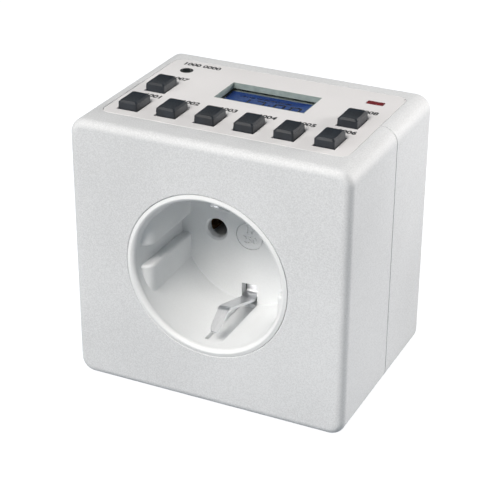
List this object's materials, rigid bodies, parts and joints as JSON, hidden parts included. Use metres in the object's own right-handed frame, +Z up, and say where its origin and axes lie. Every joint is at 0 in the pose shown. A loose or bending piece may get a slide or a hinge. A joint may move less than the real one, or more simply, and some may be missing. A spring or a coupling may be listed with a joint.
{
  "type": "plug in timer switch",
  "caption": "Square-faced plug-in digital timer switch with an earthed round socket in front, keys and a small display on top, and the matching plug behind.",
  "frame": {"origin": "middle of the whole part, pins included, on the surface the casing stands on", "axes": "+X to the right seen from the socket side, +Y from the socket face towards the plug pins, +Z up"},
  "size_m": [0.074, 0.0902, 0.0732],
  "materials": {
    "casing_plastic": "fine moulded texture",
    "panel_plastic": "fine moulded texture",
    "socket_plastic": "satin",
    "key_plastic": "fine moulded texture",
    "switch_housing": "matt",
    "switch_button": "matt",
    "clear_window": "polished",
    "display_glass": "polished",
    "display_frame": "matt",
    "elastomer": "matt",
    "circuit_board": "solder resist",
    "screw_steel": "zinc plated",
    "lamp_lens": "clear tinted",
    "chip_resin": "matt",
    "metal_can": "drawn",
    "earth_metal": "nickel plated",
    "contact_brass": "bright",
    "pin_metal": "nickel plated",
    "carrier_resin": "matt",
    "relay_plastic": "satin",
    "coil_copper": "enamelled",
    "relay_iron": "plated",
    "film_capacitor_case": "gloss",
    "capacitor_sleeve": "gloss",
    "varistor_coat": "gloss",
    "ribbon_jacket": "matt",
    "wire_jacket": "satin"
  },
  "bodies": {
    "casing": {"front_housing": "casing_plastic", "rear_housing": "casing_plastic", "plug_body": "casing_plastic", "housing_screws": "screw_steel", "top_panel": "panel_plastic", "display_window": "clear_window", "lcd_panel": "display_glass", "lcd_frame": "display_frame", "lcd_contact_strips": "elastomer", "display_board": "circuit_board", "board_screws": "screw_steel", "tact_switch_bodies": "switch_housing", "status_led": "lamp_lens", "controller_chip": "chip_resin", "quartz_crystal": "metal_can", "socket_insert": "socket_plastic", "socket_earth_bracket": "earth_metal", "live_contact": "contact_brass", "neutral_contact": "contact_brass", "live_plug_pin": "pin_metal", "neutral_plug_pin": "pin_metal", "pin_carrier": "carrier_resin", "plug_earth_bracket": "earth_metal", "earth_link": "contact_brass", "neutral_strap": "contact_brass", "main_board": "circuit_board", "relay_base": "relay_plastic", "relay_cover": "relay_plastic", "relay_coil": "coil_copper", "relay_core": "relay_iron", "relay_yoke": "relay_iron", "relay_armature": "relay_iron", "film_capacitor": "film_capacitor_case", "backup_cell": "metal_can", "filter_capacitor": "capacitor_sleeve", "surge_varistor": "varistor_coat", "ribbon_cable": "ribbon_jacket", "live_wire_in": "wire_jacket", "live_wire_out": "wire_jacket"},
    "key_1": {"key_1": "key_plastic", "switch_plunger_1": "switch_button"},
    "key_2": {"key_2": "key_plastic", "switch_plunger_2": "switch_button"},
    "key_3": {"key_3": "key_plastic", "switch_plunger_3": "switch_button"},
    "key_4": {"key_4": "key_plastic", "switch_plunger_4": "switch_button"},
    "key_5": {"key_5": "key_plastic", "switch_plunger_5": "switch_button"},
    "key_6": {"key_6": "key_plastic", "switch_plunger_6": "switch_button"},
    "key_7": {"key_7": "key_plastic", "switch_plunger_7": "switch_button"},
    "key_8": {"key_8": "key_plastic", "switch_plunger_8": "switch_button"},
    "reset": {"reset_plunger": "switch_button"}
  },
  "joints": [
    {"name": "key_1_press", "type": "slide", "parent": "casing", "child": "key_1", "axis": [0, 0, -1], "range_m": [0, 0.0005], "stiffness_N_per_m": 1500},
    {"name": "key_2_press", "type": "slide", "parent": "casing", "child": "key_2", "axis": [0, 0, -1], "range_m": [0, 0.0005], "stiffness_N_per_m": 1500},
    {"name": "key_3_press", "type": "slide", "parent": "casing", "child": "key_3", "axis": [0, 0, -1], "range_m": [0, 0.0005], "stiffness_N_per_m": 1500},
    {"name": "key_4_press", "type": "slide", "parent": "casing", "child": "key_4", "axis": [0, 0, -1], "range_m": [0, 0.0005], "stiffness_N_per_m": 1500},
    {"name": "key_5_press", "type": "slide", "parent": "casing", "child": "key_5", "axis": [0, 0, -1], "range_m": [0, 0.0005], "stiffness_N_per_m": 1500},
    {"name": "key_6_press", "type": "slide", "parent": "casing", "child": "key_6", "axis": [0, 0, -1], "range_m": [0, 0.0005], "stiffness_N_per_m": 1500},
    {"name": "key_7_press", "type": "slide", "parent": "casing", "child": "key_7", "axis": [0, 0, -1], "range_m": [0, 0.0005], "stiffness_N_per_m": 1500},
    {"name": "key_8_press", "type": "slide", "parent": "casing", "child": "key_8", "axis": [0, 0, -1], "range_m": [0, 0.0005], "stiffness_N_per_m": 1500},
    {"name": "reset_press", "type": "slide", "parent": "casing", "child": "reset", "axis": [0, 0, -1], "range_m": [0, 0.0005], "stiffness_N_per_m": 1500}
  ]
}
